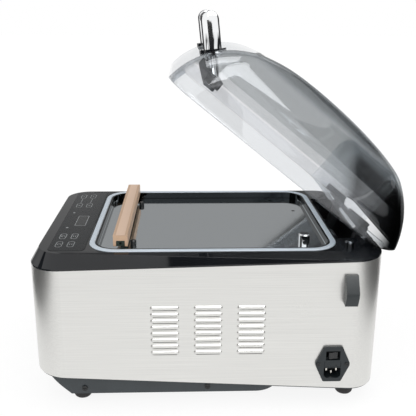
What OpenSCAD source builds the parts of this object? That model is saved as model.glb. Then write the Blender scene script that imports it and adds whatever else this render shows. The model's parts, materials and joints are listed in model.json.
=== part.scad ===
/* [Body] */
// Width of the steel wrap, side to side
body_w = 344; // [320:1:380]
// Length of the steel wrap, front to back
body_l = 486; // [470:1:520]
// Radius of the vertical corners of the steel wrap
body_r = 45; // [36:1:50]
// Thickness of the steel sheet
sheet = 1; // [0.8:0.1:1.5]
// Height of the flat top of the machine above the surface it stands on
top_z = 228; // [220:1:240]
// Height of the upper edge of the steel, midway along the side
steel_top = 215; // [210:0.5:216]
// Height of the lower edge of the steel, midway along the side
steel_bottom = 39; // [36:0.5:42]
// Slope of the upper edge of the steel, rising to the back
top_slope = 1.36; // [0:0.01:1.6]
// Slope of the lower edge of the steel, falling to the back
bottom_slope = 3.26; // [2:0.01:3.6]

/* [Base] */
// Height of the rubber feet
foot_h = 18; // [14:0.5:20]
// Diameter of the rubber feet
foot_d = 26; // [22:0.5:30]
// Distance from the middle to the feet, sideways
foot_x = 136; // [120:1:140]
// Place of the front feet, front to back
foot_front = -181; // [-190:1:-170]
// Place of the rear feet, front to back
foot_rear = 203; // [190:1:205]

/* [Top] */
// Inset of the flat top from the steel at the sides
top_in_x = 19.5; // [12:0.5:22]
// Inset of the flat top from the steel at the front and back
top_in_y = 9.5; // [6:0.5:14]
// Thickness of the touch panel
panel_t = 1; // [0.8:0.1:1.5]

/* [Chamber] */
// Half width of the sealing gasket, to its outer edge
seal_x = 148.5; // [146:0.5:149.5]
// Front outer edge of the gasket
seal_front = -165; // [-166:0.5:-164]
// Rear outer edge of the gasket
seal_rear = 182.5; // [180:0.5:183]
// Width of the gasket
seal_w = 8; // [6:0.5:9]
// How far the gasket stands above the flat top
seal_proud = 1.6; // [1:0.1:2.5]
// Height of the chamber floor
floor_z = 219; // [216:0.5:221]

/* [Seal bar] */
// Length of the seal bar
bar_l = 264; // [240:1:266]
// Width of the seal bar
bar_w = 20; // [16:0.5:22]
// Height of the seal bar
bar_h = 16; // [12:0.5:18]
// Place of the seal bar, front to back
bar_y = -119.5; // [-124:0.5:-116]
// Height of the underside of the seal bar at rest
bar_z = 230; // [229:0.5:232]

/* [Lid] */
// Half width of the lid
lid_x = 148; // [147:0.5:150]
// Front end of the closed lid
lid_front = -168; // [-170:0.5:-166]
// Rear limit of the lid's rounded back
lid_rear = 241; // [238:0.5:243]
// Height of the crown of the closed lid
lid_top = 347; // [335:1:350]
// Thickness of the lid's wall
lid_wall = 5; // [4:0.5:6]
// How far the lid stands open
lid_open = 39; // [0:1:40]
// Place of the lid's pivot, front to back
hinge_y = 211; // [209:0.5:212]
// Height of the lid's pivot
hinge_z = 180; // [178:0.5:182]
// Diameter of the hinge shaft
shaft_d = 10; // [8:0.5:12]

/* [Handle] */
// Length of the handle, side to side
grip_l = 180; // [140:1:200]
// Height of the handle above the lid
grip_h = 54; // [45:1:60]
// Width of the handle's end plates
grip_w = 24; // [20:0.5:28]

/* [Hidden] */
$fn = 64;
gap = 0.3;                       // clearance between parts that move past each other
fit = 0.05;                      // radial clearance of a running fit
far = 1000;                      // size of the blocks that trim other shapes
half_w = body_w / 2;
half_l = body_l / 2;
// the whole machine is moved so that its box, with the lid open, is centred on the Z axis
place = [-7, -17, 0];
deck_w = body_w - 2 * top_in_x;
deck_l = body_l - 2 * top_in_y;
deck_r = 36;
seal_top = top_z + seal_proud;
seal_r = 40;
seal_l = seal_rear - seal_front;
seal_y = (seal_rear + seal_front) / 2;
well_x = 100;
well_front = 185.5;
well_rear = 240;
crown_r = 435;                   // radius of the lid's long top arc
crown_y = 36.5;
arch_r = 330;                    // radius of the lid's arch from side to side
front_z = 218;                   // heights of the centres of the lid's end arcs
rear_z = 197;
seam = 0.05;                     // tiny step where the end arcs meet the top arc
front_y = lid_front + end_r(crown_y - lid_front, front_z);
rear_y = lid_rear - end_r(lid_rear - crown_y, rear_z);
bulkhead_y = 149.5;
arm_foot_z = 236;
knob_x = 134;                    // the lid switch's knob, behind the gasket
knob_y = 197;
knob_d = 12;
knob_top = top_z + 9;
handle_seat = 5;               // top of the handle's feet, along the handle's own axis
hanger_top = -3.4;
lift_d = 8;                      // diameter of the pins that carry the seal bar
bladder_top = 209;
arm_x = 71;
arm_t = 12;
arm_w = 14;
arm_lean = 19;
display_x = 14.5;
inlet_y = 174.6;
inlet_z = 67.9;
inlet_in = 30;
rocker_z = 13.2;                 // height of the rocker above the middle of the inlet
side_x = half_w;
vent_w = 39.7;
vent_pitch_y = 59.2;
vent_pitch_z = 9.6;
vent_first_z = 88;
vent_rows = 8;
tray_z = foot_h + 3;             // floor inside the base pan
pan_slope = 47;                  // lean of the base pan's front
pump_x = -45;
pump_y = 30;
pump_z = 88;
fan_y = 0;
fan_z = 121.6;
fan_x = 152;
hook_y = 192.8;
hook_z = [168, 194];             // heights of the hook's two screws

// ---- shared shapes ----
module rounded_rect(w, l, r) {
    square([w - 2 * r, l], center = true);
    square([w, l - 2 * r], center = true);
    for (sx = [-1, 1], sy = [-1, 1])
        translate([sx * (w / 2 - r), sy * (l / 2 - r)]) circle(r = r);
}
module slab(w, l, r, z0, z1) {
    translate([0, 0, z0]) linear_extrude(z1 - z0) rounded_rect(w, l, r);
}
module above_plane(z, slope) {
    translate([0, 0, z]) rotate([slope, 0, 0])
        translate([-far / 2, -far / 2, 0]) cube([far, far, far]);
}
module below_plane(z, slope) {
    translate([0, 0, z]) rotate([slope, 0, 0])
        translate([-far / 2, -far / 2, -far]) cube([far, far, far]);
}
// a box given by its lowest and highest corners
module block(lo, hi) {
    translate(lo) cube(hi - lo);
}
// a rod between two points in a plane of constant X
module rod_x(x0, x1, y, z, d) {
    translate([x0, y, z]) rotate([0, 90, 0]) cylinder(d = d, h = x1 - x0);
}
module rod_y(x, y0, y1, z, d) {
    translate([x, y1, z]) rotate([90, 0, 0]) cylinder(d = d, h = y1 - y0);
}
module rod_z(x, y, z0, z1, d) {
    translate([x, y, z0]) cylinder(d = d, h = z1 - z0);
}
// a screw standing along +Z with its head on top
module screw(d, head_d, head_h, length) {
    translate([0, 0, -length]) cylinder(d = d, h = length);
    difference() {
        cylinder(d = head_d, h = head_h);
        translate([-head_d / 3, -head_d / 16, head_h * 0.5])
            cube([head_d / 1.5, head_d / 8, head_h]);
        translate([-head_d / 16, -head_d / 3, head_h * 0.5])
            cube([head_d / 8, head_d / 1.5, head_h]);
    }
}
// an outline drawn in the side view (Y across, Z up), extruded evenly about X = 0
module side_shape(w) {
    rotate([90, 0, 90]) translate([0, 0, -w / 2]) linear_extrude(w) children();
}
// closed parts of the lid are tipped open about the hinge shaft
module opened() {
    translate([0, hinge_y, hinge_z]) rotate([-lid_open, 0, 0])
        translate([0, -hinge_y, -hinge_z]) children();
}
module on_handle_line(x) {
    translate([x, -140, 290]) rotate([45, 0, 0]) children();
}

// ---- steel body and base ----
module steel_wrap() {
    color("lightgray") difference() {
        union() {
            difference() {
                slab(body_w, body_l, body_r, 0, top_z);
                slab(body_w - 2 * sheet, body_l - 2 * sheet, body_r - sheet, -1, top_z + 1);
            }
            for (s = [-1, 1], c = [-1:1], r = [0:vent_rows - 1])
                vent_bump(s, c * vent_pitch_y, vent_first_z + r * vent_pitch_z);
        }
        above_plane(steel_top, top_slope);
        below_plane(steel_bottom, -bottom_slope);
        for (s = [-1, 1], c = [-1:1], r = [0:vent_rows - 1])
            vent_slot(s, c * vent_pitch_y, vent_first_z + r * vent_pitch_z);
        translate([0, inlet_y, inlet_z]) block([side_x - 5, -14.5, -24], [side_x + 5, 14.5, 24]);
        for (z = hook_z) rod_x(side_x - 5, side_x + 5, hook_y, z, 4);
        for (sy = [-1, 1])
            rod_x(side_x - 5, side_x + 5, inlet_y + sy * 20, inlet_z, 3.4);
    }
}
module vent_bump(s, y, z) {
    vent_r = 3.5;
    intersection() {
        translate([s * (side_x - 1.5), y, z]) {
            rotate([90, 0, 0]) cylinder(r = vent_r, h = vent_w - 2 * vent_r, center = true);
            for (e = [-1, 1]) translate([0, e * (vent_w / 2 - vent_r), 0]) sphere(r = vent_r);
        }
        translate([s * (side_x + 3), y, z]) cube([6.8, vent_w, 8], center = true);
    }
}
module vent_slot(s, y, z) {
    translate([s * (side_x - 1), y, z - 3.5])
        cube([6.4, vent_w - 7, 0.8], center = true);
}
module base_pan() {
    color("darkslategray") difference() {
        union() {
            intersection() {
                slab(body_w - 2 * sheet - 0.6, body_l - 2 * sheet - 0.6, body_r - sheet, 0, 100);
                above_plane(steel_bottom - 2, -bottom_slope);
                below_plane(steel_bottom + 3, -bottom_slope);
            }
            intersection() {
                translate([0, -67, 0]) slab(322, 340, 34, foot_h, 60);
                below_plane(steel_bottom + 1, -bottom_slope);
                translate([0, -193, foot_h]) rotate([pan_slope, 0, 0])
                    translate([-far / 2, 0, -far / 2]) cube([far, far, far]);
            }
            for (s = [-1, 1]) rod_z(s * foot_x, foot_rear, foot_h, 30, 34);
        }
        intersection() {
            translate([0, -67, 0]) slab(314, 332, 30, tray_z, 120);
            translate([0, -190, tray_z]) rotate([pan_slope, 0, 0])
                translate([-far / 2, 0, -far / 2]) cube([far, far, far]);
        }
        for (s = [-1, 1], y = [foot_front, foot_rear])
            rod_z(s * foot_x, y, foot_h - 1, foot_h + 10, 4.4);
        for (s = [-1, 1], y = [-174, 0]) rod_x(s * 161 - 9, s * 161 + 9, y, 27, 5);
    }
}
module foot_shape() {
    rotate_extrude() {
        square([foot_d / 2, foot_h - 6]);
        translate([0, foot_h - 6]) square([foot_d / 2 - 6, 6]);
        translate([foot_d / 2 - 6, foot_h - 6]) circle(r = 6);
    }
}
module rubber_feet() {
    color("#151515") for (s = [-1, 1], y = [foot_front, foot_rear])
        translate([s * foot_x, y, foot_h]) mirror([0, 0, 1]) difference() {
            foot_shape();
            translate([0, 0, -1]) cylinder(d = 4.4, h = foot_h + 2);
            translate([0, 0, foot_h - 6]) cylinder(d = 9, h = 7);
        }
}
module foot_screws() {
    color("silver") for (s = [-1, 1], y = [foot_front, foot_rear])
        translate([s * foot_x, y, 6]) mirror([0, 0, 1]) screw(4, 8, 2.5, 20);
}
module base_screws() {
    color("silver") for (s = [-1, 1], y = [-174, 0])
        translate([s * 161.2, y, 27]) rotate([0, s * 90, 0]) screw(4.6, 8, 1.6, 8);
}

// ---- top ----
module top_bezel() {
    color("#0c0e10") difference() {
        union() {
            hull() {
                intersection() {
                    slab(body_w, body_l, body_r, steel_top - 20, steel_top + 20);
                    above_plane(steel_top, top_slope);
                    below_plane(steel_top + 2.2, top_slope);
                }
                slab(deck_w, deck_l, deck_r, top_z - 0.8, top_z);
            }
            intersection() {
                slab(body_w - 2 * sheet - 0.6, body_l - 2 * sheet - 0.6, body_r - sheet,
                    steel_top - 20, steel_top + 10);
                above_plane(steel_top - 7, top_slope);
                below_plane(steel_top + 1, top_slope);
            }
        }
        slab(body_w - 48, body_l - 30, deck_r, 100, top_z - 3);
        translate([0, seal_y, 0])
            slab(2 * seal_x + 0.6, seal_l + 0.6, seal_r + 0.3, 100, top_z + 1);
        block([-well_x, well_front, 100], [well_x, well_rear, top_z + 1]);
        block([-well_x - 2.3, well_front - 2, 100], [well_x + 2.3, half_l - sheet, top_z - 3]);
        block([-well_x, well_front, 221.5], [well_x, half_l + 5, top_z + 1]);
        translate([0, -193, 0]) slab(287, 50.6, 8, top_z - 0.6, top_z + 1);
        block([display_x - 24, -199, 100], [display_x + 24, -180, top_z + 1]);
        rod_z(knob_x, knob_y, 100, top_z + 1, knob_d + 2 * gap);
    }
}
module touch_panel() {
    color("#2b2f31") difference() {
        translate([0, -193, 0]) slab(286.4, 50, 7.7, top_z - 0.6, top_z - 0.6 + panel_t);
        block([display_x - 23.5, -198, top_z - 1], [display_x + 23.5, -181, top_z + 2]);
    }
}
module display_window() {
    color("#101214")
        block([display_x - 23.4, -197.9, top_z - 0.6], [display_x + 23.4, -181.1, top_z + 0.4]);
}

// ---- chamber ----
module chamber_pan() {
    color("#1a1c1e") difference() {
        union() {
            translate([0, seal_y, 0]) slab(2 * seal_x, seal_l, seal_r, floor_z - 4, top_z - 2);
            translate([0, seal_y, 0])
                slab(2 * (seal_x - seal_w) - 0.6, seal_l - 2 * seal_w - 0.6,
                    seal_r - seal_w - 0.3, floor_z - 4, top_z + 0.8);
        }
        translate([0, seal_y, 0])
            slab(2 * (seal_x - seal_w) - 6, seal_l - 2 * seal_w - 6, seal_r - seal_w - 3,
                floor_z, top_z + 5);
        rod_z(98, 140, 200, 230, 10.2);
        rod_z(-60, 150, 200, 230, 6);
        for (s = [-1, 1]) rod_z(s * 94, -105, 200, 230, 6.2);
        for (s = [-1, 1]) rod_z(s * 60, bar_y, 200, 230, lift_d + 2 * fit);
    }
}
module chamber_gasket() {
    color("#d4e2ee") translate([0, seal_y, 0]) difference() {
        slab(2 * seal_x, seal_l, seal_r, top_z - 2, seal_top);
        slab(2 * (seal_x - seal_w), seal_l - 2 * seal_w, seal_r - seal_w, top_z - 3, seal_top + 1);
    }
}
module vacuum_nozzle() {
    color("silver") translate([98, 140, 0]) difference() {
        union() {
            translate([0, 0, floor_z]) cylinder(d = 16.4, h = 14.6);
            translate([0, 0, floor_z + 14.6]) cylinder(d1 = 16.4, d2 = 13.4, h = 1.6);
            translate([0, 0, floor_z - 14]) cylinder(d = 10, h = 14.1);
        }
        translate([0, 0, floor_z - 15]) cylinder(d = 5, h = 25);
        translate([0, 0, floor_z + 8.5]) rotate([0, 90, -20]) cylinder(d = 4.6, h = 20);
    }
}
module terminal_posts() {
    color("#101010") for (s = [-1, 1]) translate([s * 94, -105, 0]) {
        translate([0, 0, floor_z]) cylinder(d = 8.6, h = 5.5);
        translate([0, 0, floor_z + 5.5]) cylinder(d1 = 8.6, d2 = 6, h = 1.4);
        translate([0, 0, floor_z - 10]) cylinder(d = 6, h = 10);
    }
}
module bar_bladder() {
    color("#2a2a2a") {
        translate([0, bar_y, 0]) slab(200, 34, 16, bladder_top - 9, bladder_top);
    }
}

// ---- lid hinge ----
module hinge_well() {
    color("#141618") difference() {
        block([-well_x - 2, well_front - 1.5, 158], [well_x + 2, well_rear + 1.4, top_z - 3]);
        block([-well_x + 0.4, well_front + 0.2, 160], [well_x - 0.4, well_rear - 0.2, top_z + 1]);
        block([-far / 2, well_front - 5, 212], [far / 2, well_front + 5, top_z + 1]);
        block([-well_x - 5, well_rear - 5, 219], [well_x + 5, well_rear + 5, top_z + 1]);
    }
}
module hinge_blocks() {
    color("#3a3d40") for (s = [-1, 1]) difference() {
        translate([s * 90, hinge_y, 0]) block([-8, -13, 160], [8, 13, hinge_z + 12]);
        rod_x(s * 90 - 10, s * 90 + 10, hinge_y, hinge_z, shaft_d);
    }
}
module hinge_shaft() {
    color("silver") rod_x(-98, 98, hinge_y, hinge_z, shaft_d);
}
module hinge_springs() {
    turns = 9;
    wire = 3;
    color("#6b6f73") for (s = [-1, 1], i = [0:turns - 1])
        translate([s * 40 + (i - (turns - 1) / 2) * wire, hinge_y, hinge_z])
            rotate([0, 90, 0]) rotate_extrude() translate([8, 0]) circle(d = wire + 0.1);
}
module arm_outline() {
    difference() {
        union() {
            translate([hinge_y, hinge_z]) circle(r = 11);
            translate([hinge_y, hinge_z]) rotate(arm_lean)
                translate([-arm_w / 2, 0]) square([arm_w, 61]);
            translate([160, 236.2]) square([36, 9]);
        }
        translate([hinge_y, hinge_z]) circle(d = shaft_d + 2 * fit);
        translate([150, 200]) square([34.2, 36.2]);
        translate([170, 245.2]) square([40, 20]);
    }
}
module hinge_arms() {
    color("#1c1e20") opened() for (s = [-1, 1])
        translate([s * arm_x, 0, 0]) side_shape(arm_t) arm_outline();
}

// ---- lid ----
// side view of the closed lid: a long top arc, which runs smoothly into a front arc and a rear arc
module lid_outline(inset) {
    join_front = join_y(front_y, front_z, inset);
    intersection() {
        translate([crown_y, lid_top - crown_r]) circle(r = crown_r - inset, $fn = 256);
        union() {
            front_arc(inset);
            translate([rear_y, rear_z]) circle(r = lid_rear - rear_y - inset - seam, $fn = 128);
            translate([join_front, 0]) square([join_y(rear_y, rear_z, inset) - join_front, far]);
        }
    }
}
module front_arc(inset) {
    translate([front_y, front_z]) circle(r = front_y - lid_front - inset - seam, $fn = 128);
}
// radius of an end arc that is tangent to the top arc and reaches so far from the crown
function end_r(reach, z) = (crown_r * crown_r - reach * reach - pow(z - lid_top + crown_r, 2))
    / (2 * (crown_r - reach));
// where the end arc centred at y, z meets the top arc
function join_y(y, z, inset) = crown_y + (y - crown_y) * (crown_r - inset)
    / norm([y - crown_y, z - lid_top + crown_r]);
// front view of the lid: straight sides under a shallow arch
module lid_arch(inset) {
    intersection() {
        translate([inset - lid_x, 0]) square([2 * (lid_x - inset), far]);
        translate([0, lid_top - arch_r]) circle(r = arch_r - inset, $fn = 256);
    }
}
module lid_solid(inset) {
    intersection() {
        side_shape(2 * lid_x + 2) lid_outline(inset);
        rotate([90, 0, 0]) translate([0, 0, -far / 2]) linear_extrude(far) lid_arch(inset);
        translate([0, (lid_front + lid_rear) / 2, 0])
            slab(2 * (lid_x - inset), lid_rear - lid_front + 3 - 2 * inset, 38 - inset, 100, 400);
    }
}
module lid_trim() {
    block([-far / 2, -far / 2, 0], [far / 2, far / 2, seal_top + gap]);
    translate([0, 187, seal_top + gap]) rotate([20, 0, 0])
        block([-far / 2, 0, -60], [far / 2, 90, 0]);
}
module lid_dome() {
    color("#8f9496", 0.45) opened() difference() {
        lid_solid(0);
        lid_solid(lid_wall);
        lid_trim();
        for (s = [-1, 1]) on_handle_line(s * 85) cylinder(d = 6.4, h = 40, center = true);
    }
}
module lid_rim() {
    rim_top = seal_top + 20;
    color("#c9ced1", 0.5) opened() difference() {
        intersection() {
            lid_solid(lid_wall);
            block([-far / 2, -far / 2, 0], [far / 2, bulkhead_y, rim_top]);
        }
        intersection() {
            lid_solid(lid_wall + 4);
            block([-far / 2, -far / 2, -1], [far / 2, 200, far]);
        }
        lid_trim();
    }
}
module lid_bulkhead() {
    wall = 7.5;
    color("#9aa1a5", 0.6) opened() {
        intersection() {
            lid_solid(lid_wall);
            block([-far / 2, bulkhead_y, seal_top + gap], [far / 2, bulkhead_y + wall, far]);
        }
        difference() {
            intersection() {
                lid_solid(lid_wall);
                block([-far / 2, bulkhead_y + 1, seal_top + gap], [far / 2, 184, arm_foot_z]);
            }
            block([knob_x - 11, 175, 0], [knob_x + 11, far, far]);
        }
        block([knob_x - 6, 168, arm_foot_z - 2], [knob_x + 6, 175, 242]);
        block([knob_x - 6, 168, knob_top + gap], [knob_x + 6, 203, 242]);
    }
}
module lid_rear_cover() {
    color("#0c0e10") opened() intersection() {
        side_shape(216) difference() {
            lid_outline(lid_wall + gap);
            lid_outline(lid_wall + gap + 3);
            square([160, far]);
            translate([-far, 0]) square([far + 1, far]);
            square([far, 248]);
            translate([0, 284]) square([far, far]);
        }
        rotate([90, 0, 0]) translate([0, 0, -far / 2]) linear_extrude(far)
            lid_arch(lid_wall + gap);
    }
}
module pressure_bar() {
    color("silver") opened() {
        difference() {
            block([-128, -132, 257], [128, -108, 269]);
            block([-126, -130, 259], [126, -110, 267]);
        }
        for (s = [-1, 1]) difference() {
            on_handle_line(s * 85) translate([0, 0, -40]) cylinder(d = 11, h = 40 + hanger_top);
            block([-200, -200, 0], [200, 200, 269]);
            on_handle_line(s * 85) cylinder(d = 6.4, h = 60, center = true);
        }
    }
}
module pressure_pad() {
    color("#404448") opened() block([-130, -128, 252.6], [130, -112, 257]);
}
module handle_bases() {
    color("#0c0e10") opened() for (s = [-1, 1]) difference() {
        on_handle_line(s * 85) difference() {
            translate([0, 0, -2]) linear_extrude(handle_seat + 2) {
                square([20, 16], center = true);
                for (sy = [-1, 1]) translate([0, sy * 8]) circle(d = 20);
            }
            translate([0, 0, -10]) cylinder(d = 6.4, h = 30);
        }
        side_shape(2 * lid_x) front_arc(0);
    }
}
module lid_handle() {
    bar_at = grip_h - grip_w / 2;
    color("silver") opened() on_handle_line(0) {
        for (s = [-1, 1]) translate([s * 85, 0, 0]) {
            difference() {
                rotate([90, 0, 90]) translate([0, 0, -5]) linear_extrude(10) {
                    translate([-grip_w / 2, handle_seat]) square([grip_w, bar_at - handle_seat]);
                    translate([0, bar_at]) circle(d = grip_w);
                }
                translate([0, 0, -1]) cylinder(d = 6.2, h = 26);
            }
            translate([0, 0, -9]) cylinder(d = 6, h = 32);
        }
        translate([0, 0, bar_at]) rotate([0, 90, 0])
            cylinder(d = 19, h = grip_l - 19.9, center = true);
    }
}

// ---- seal bar ----
module seal_bar() {
    color("#d9b48c") difference() {
        translate([0, bar_y, bar_z + bar_h / 2]) cube([bar_l, bar_w, bar_h], center = true);
        block([-far / 2, bar_y - 6, bar_z - 1], [far / 2, bar_y + 6, bar_z + 8]);
        block([-far / 2, bar_y - 6.2, bar_z + bar_h - 0.3], [far / 2, bar_y + 6.2, far]);
    }
}
module bar_core() {
    color("#26352c") difference() {
        union() {
            block([-bar_l / 2 + 1, bar_y - 6, bar_z], [bar_l / 2 - 1, bar_y + 6, bar_z + 8]);
            for (s = [-1, 1]) rod_z(s * 60, bar_y, bladder_top + gap, bar_z + 1, lift_d);
        }
        for (s = [-1, 1]) rod_x(s * bar_l / 2 - 6, s * bar_l / 2 + 6, bar_y, bar_z + 4, 4);
    }
}
module heat_strip() {
    color("silver") block([-bar_l / 2 + 4, bar_y - 2.5, bar_z + bar_h - 0.3],
        [bar_l / 2 - 4, bar_y + 2.5, bar_z + bar_h - 0.1]);
}
module bar_tape() {
    color("#e0c3a6") translate([0, 0, bar_z + bar_h - 0.1])
        block([-bar_l / 2, bar_y - 6.2, 0], [bar_l / 2, bar_y + 6.2, 0.2]);
}

// ---- power inlet on the side ----
// the middle pin sits lower than the two outer ones
function pin_z(i) = i == 0 ? -15.9 : -11.8;
module at_inlet() {
    translate([side_x, inlet_y, inlet_z]) children();
}
module inlet_housing() {
    color("#20262a") at_inlet() difference() {
        union() {
            rotate([90, 0, 90]) linear_extrude(3)
                polygon([[-24, -2], [-24, 2], [-13, 26.4], [-11, 27.2], [11, 27.2], [13, 26.4],
                    [24, 2], [24, -2], [13, -26.4], [11, -27.2], [-11, -27.2], [-13, -26.4]]);
            block([-inlet_in, -14, -23.5], [0.1, 14, 23.5]);
        }
        difference() {
            block([-18, -11.9, -21.5], [5, 11.9, -6]);
            for (s = [-1, 1]) translate([-10, s * 11.9, -21.5]) rotate([45, 0, 0])
                cube([40, 5, 5], center = true);
        }
        block([-inlet_in - 1, -11.7, -4.9], [5, 11.7, 3.7]);
        translate([0, 0, rocker_z]) {
            block([-2, -10, -7], [5, 10, 7]);
            block([-16, -9.8, -5.2], [1, 9.8, 5.2]);
            rod_z(-5, 0, -6.2, 6.2, 3 + 2 * fit);
        }
        for (s = [-1, 1]) rod_x(-5, 5, s * 20, 0, 3.4);
        for (i = [-1:1]) rod_x(-inlet_in - 1, -17, i * 7, pin_z(i), 3);
    }
}
module inlet_pins() {
    color("silver") at_inlet() for (i = [-1:1])
        translate([0, i * 7, pin_z(i)]) block([-18, -1, -2], [-4, 1, 2]);
}
module inlet_screws() {
    color("silver") at_inlet() for (s = [-1, 1])
        translate([3, s * 20, 0]) rotate([0, 90, 0]) screw(3.2, 6, 1, 12);
}
module rocker_switch() {
    color("#14181a") at_inlet() translate([-5, 0, rocker_z]) rotate([0, 0, 9]) {
        difference() {
            intersection() {
                rod_z(0, 0, -4.9, 4.9, 19);
                block([-6, -7, -4.9], [far, 7, 4.9]);
            }
            translate([21.5, 0, -6]) cylinder(d = 28, h = 12);
        }
        rod_z(0, 0, -5.9, 5.9, 3);
    }
}
module fuse_drawer() {
    color("#20262a") at_inlet() difference() {
        block([-24, -11.5, -4.7], [2.6, 11.5, 3.5]);
        block([-22, -10.5, -3.6], [-2, 10.5, 4]);
        for (s = [-1, 1]) block([1.8, s * 5 - 1.6, -3], [4, s * 5 + 1.6, -1.6]);
    }
}
module glass_fuse() {
    color("#e8eef0", 0.7) at_inlet() rod_y(-12, -10, 10, -1, 5);
}
module cord_hook() {
    color("#30363a") difference() {
        translate([0, hook_y, 0]) side_rib(17.5) polygon([[side_x, 202], [side_x + 4, 202],
            [side_x + 16, 181], [side_x + 16, 175], [side_x + 10.5, 160], [side_x + 7.5, 160],
            [side_x + 7.5, 161], [side_x, 161]]);
        translate([0, hook_y, 0]) side_rib(12.5) polygon([[side_x + 2.5, 150],
            [side_x + 7.5, 150], [side_x + 12.5, 174], [side_x + 12.5, 180],
            [side_x + 2.5, 188]]);
        for (z = hook_z) rod_x(side_x - 1, side_x + (z > 180 ? 1.6 : 3), hook_y, z, 3);
    }
}
// an outline drawn in the front view (X across, Z up), extruded evenly about Y = 0
module side_rib(l) {
    rotate([90, 0, 0]) translate([0, 0, -l / 2]) linear_extrude(l) children();
}
module hook_screws() {
    color("silver") for (z = hook_z)
        translate([side_x - sheet, hook_y, z]) rotate([0, -90, 0]) screw(2.8, 6, 1.6, 2.4);
}

// ---- inside the body ----
module pump_mounts() {
    color("#151515") for (sx = [-1, 1], sy = [-1, 1]) translate([pump_x + sx * 38, pump_y + sy * 45, 0])
        rod_z(0, 0, tray_z, tray_z + 14, 16);
}
module pump_motor() {
    color("#8a8f94") {
        difference() {
            rod_y(pump_x, pump_y - 55, pump_y + 55, pump_z, 96);
            rod_y(pump_x, pump_y - 60, pump_y + 60, pump_z, 8.1);
            rod_y(pump_x, pump_y - 60, pump_y - 50, pump_z, 80);
        }
        difference() {
            translate([pump_x, pump_y, 0]) block([-46, -53, tray_z + 14], [46, 53, tray_z + 32]);
            rod_y(pump_x, pump_y - 60, pump_y + 60, pump_z, 95.9);
        }
    }
}
module pump_head() {
    color("#b0b4b8") difference() {
        translate([pump_x, pump_y + 55, 0]) block([-42, 0, 40], [42, 46, 136]);
        rod_y(pump_x, pump_y + 50, pump_y + 90, pump_z, 16);
    }
}
module pump_cylinders() {
    color("#9a9ea2") for (s = [-1, 1]) translate([pump_x + s * 20, pump_y + 78, 0]) {
        for (i = [0:4]) rod_z(0, 0, 136 + i * 6, 139 + i * 6, 38);
        rod_z(0, 0, 136, 166, 30);
        translate([0, 0, 166]) translate([-18, -18, 0]) cube([36, 36, 8]);
    }
}
module pump_fan() {
    color("#2c3033") {
        rod_y(pump_x, pump_y - 54, pump_y + 80, pump_z, 8);
        rod_y(pump_x, pump_y - 54, pump_y - 51, pump_z, 30);
        for (i = [0:7]) translate([pump_x, pump_y - 54, pump_z]) rotate([0, i * 45, 0])
            block([-1, 0, 14], [1, 3.2, 37]);
        translate([pump_x, pump_y + 60, pump_z]) rotate([90, 0, 0]) cylinder(d = 14, h = 4);
    }
}
module transformer_core() {
    color("#55595c") translate([75, -120, tray_z]) difference() {
        block([-42, -35, 0], [42, 35, 70]);
        block([-28, -40, 14], [-14, 40, 56]);
        block([14, -40, 14], [28, 40, 56]);
    }
}
module transformer_coil() {
    color("#b8742c") translate([75, -120, tray_z]) difference() {
        block([-27.8, -48, 14.2], [27.8, 48, 55.8]);
        block([-14.2, -36, 0], [14.2, 36, 70]);
        for (s = [-1, 1]) block([s * 100 - 72, -35.2, 0], [s * 100 + 72, 35.2, 14.1]);
    }
}
module control_board() {
    color("#1f5c38") difference() {
        block([-130, -170, 44], [-30, -60, 45.6]);
        for (x = [-124, -36], y = [-164, -66]) rod_z(x, y, 40, 50, 3.4);
    }
}
module board_standoffs() {
    color("#c8a84a") for (x = [-124, -36], y = [-164, -66]) {
        rod_z(x, y, tray_z, 44, 7);
        rod_z(x, y, 44, 48, 3);
    }
}
module board_parts() {
    color("#23272b") translate([0, 0, 45.6]) {
        block([-110, -150, 0], [-86, -126, 22]);
        block([-76, -150, 0], [-52, -132, 15]);
        for (i = [0:2]) rod_z(-104 + i * 18, -100, 0, 24, 13);
        block([-56, -112, 0], [-42, -86, 12]);
        block([-118, -84, 0], [-70, -76, 9]);
    }
}
module display_board() {
    color("#1f5c38") {
        block([-120, -214, 219.4], [120, -172, 221]);
        block([display_x - 23, -198, 221], [display_x + 23, -181, 226.6]);
    }
}
module valve_shape() {
    rod_z(0, 0, 0, 12, 20);
    translate([-13, -13, 12]) cube([26, 26, 30]);
    rod_z(0, 0, 42, 50, 9);
}
module vacuum_valve() {
    color("#3b3f43") translate([70, 60, 110]) valve_shape();
}
module release_valve() {
    color("#3b3f43") translate([20, 150, 110]) valve_shape();
}
// a hose drawn as straight runs joined by ball-shaped elbow fittings
module hose(points, d) {
    for (i = [0:len(points) - 2]) {
        run = points[i + 1] - points[i];
        translate(points[i]) rotate([0, acos(run[2] / norm(run)), atan2(run[1], run[0])])
            cylinder(d = d, h = norm(run));
    }
    for (i = [1:len(points) - 2]) translate(points[i]) sphere(d = d * 1.25);
}
module vacuum_hose() {
    color("#b9c4c9") hose([[98, 140, 205], [98, 140, 180], [70, 60, 180], [70, 60, 160]], 9);
}
module valve_hose() {
    color("#b9c4c9") hose([[70, 60, 110], [70, 60, 92], [70, 108, 92], [-3, 108, 92]], 9);
}
module pressure_sensor() {
    color("#3f4448") translate([-60, 150, 0]) {
        rod_z(0, 0, 196, 215, 20);
        rod_z(0, 0, 215, 219, 5.8);
    }
}
module fan_frame() {
    color("#15181a") translate([fan_x, fan_y, fan_z]) {
        difference() {
            cube([25, 80, 80], center = true);
            rotate([0, 90, 0]) cylinder(d = 76, h = 30, center = true);
            for (sy = [-1, 1], sz = [-1, 1])
                rod_x(-20, 20, sy * 36, sz * 36, 4.4);
        }
        rod_x(-12.5, -9.5, 0, 0, 30);
        for (a = [0, 90]) rotate([a, 0, 0]) block([-12.5, -2, -38.5], [-9.5, 2, 38.5]);
    }
}
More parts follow.
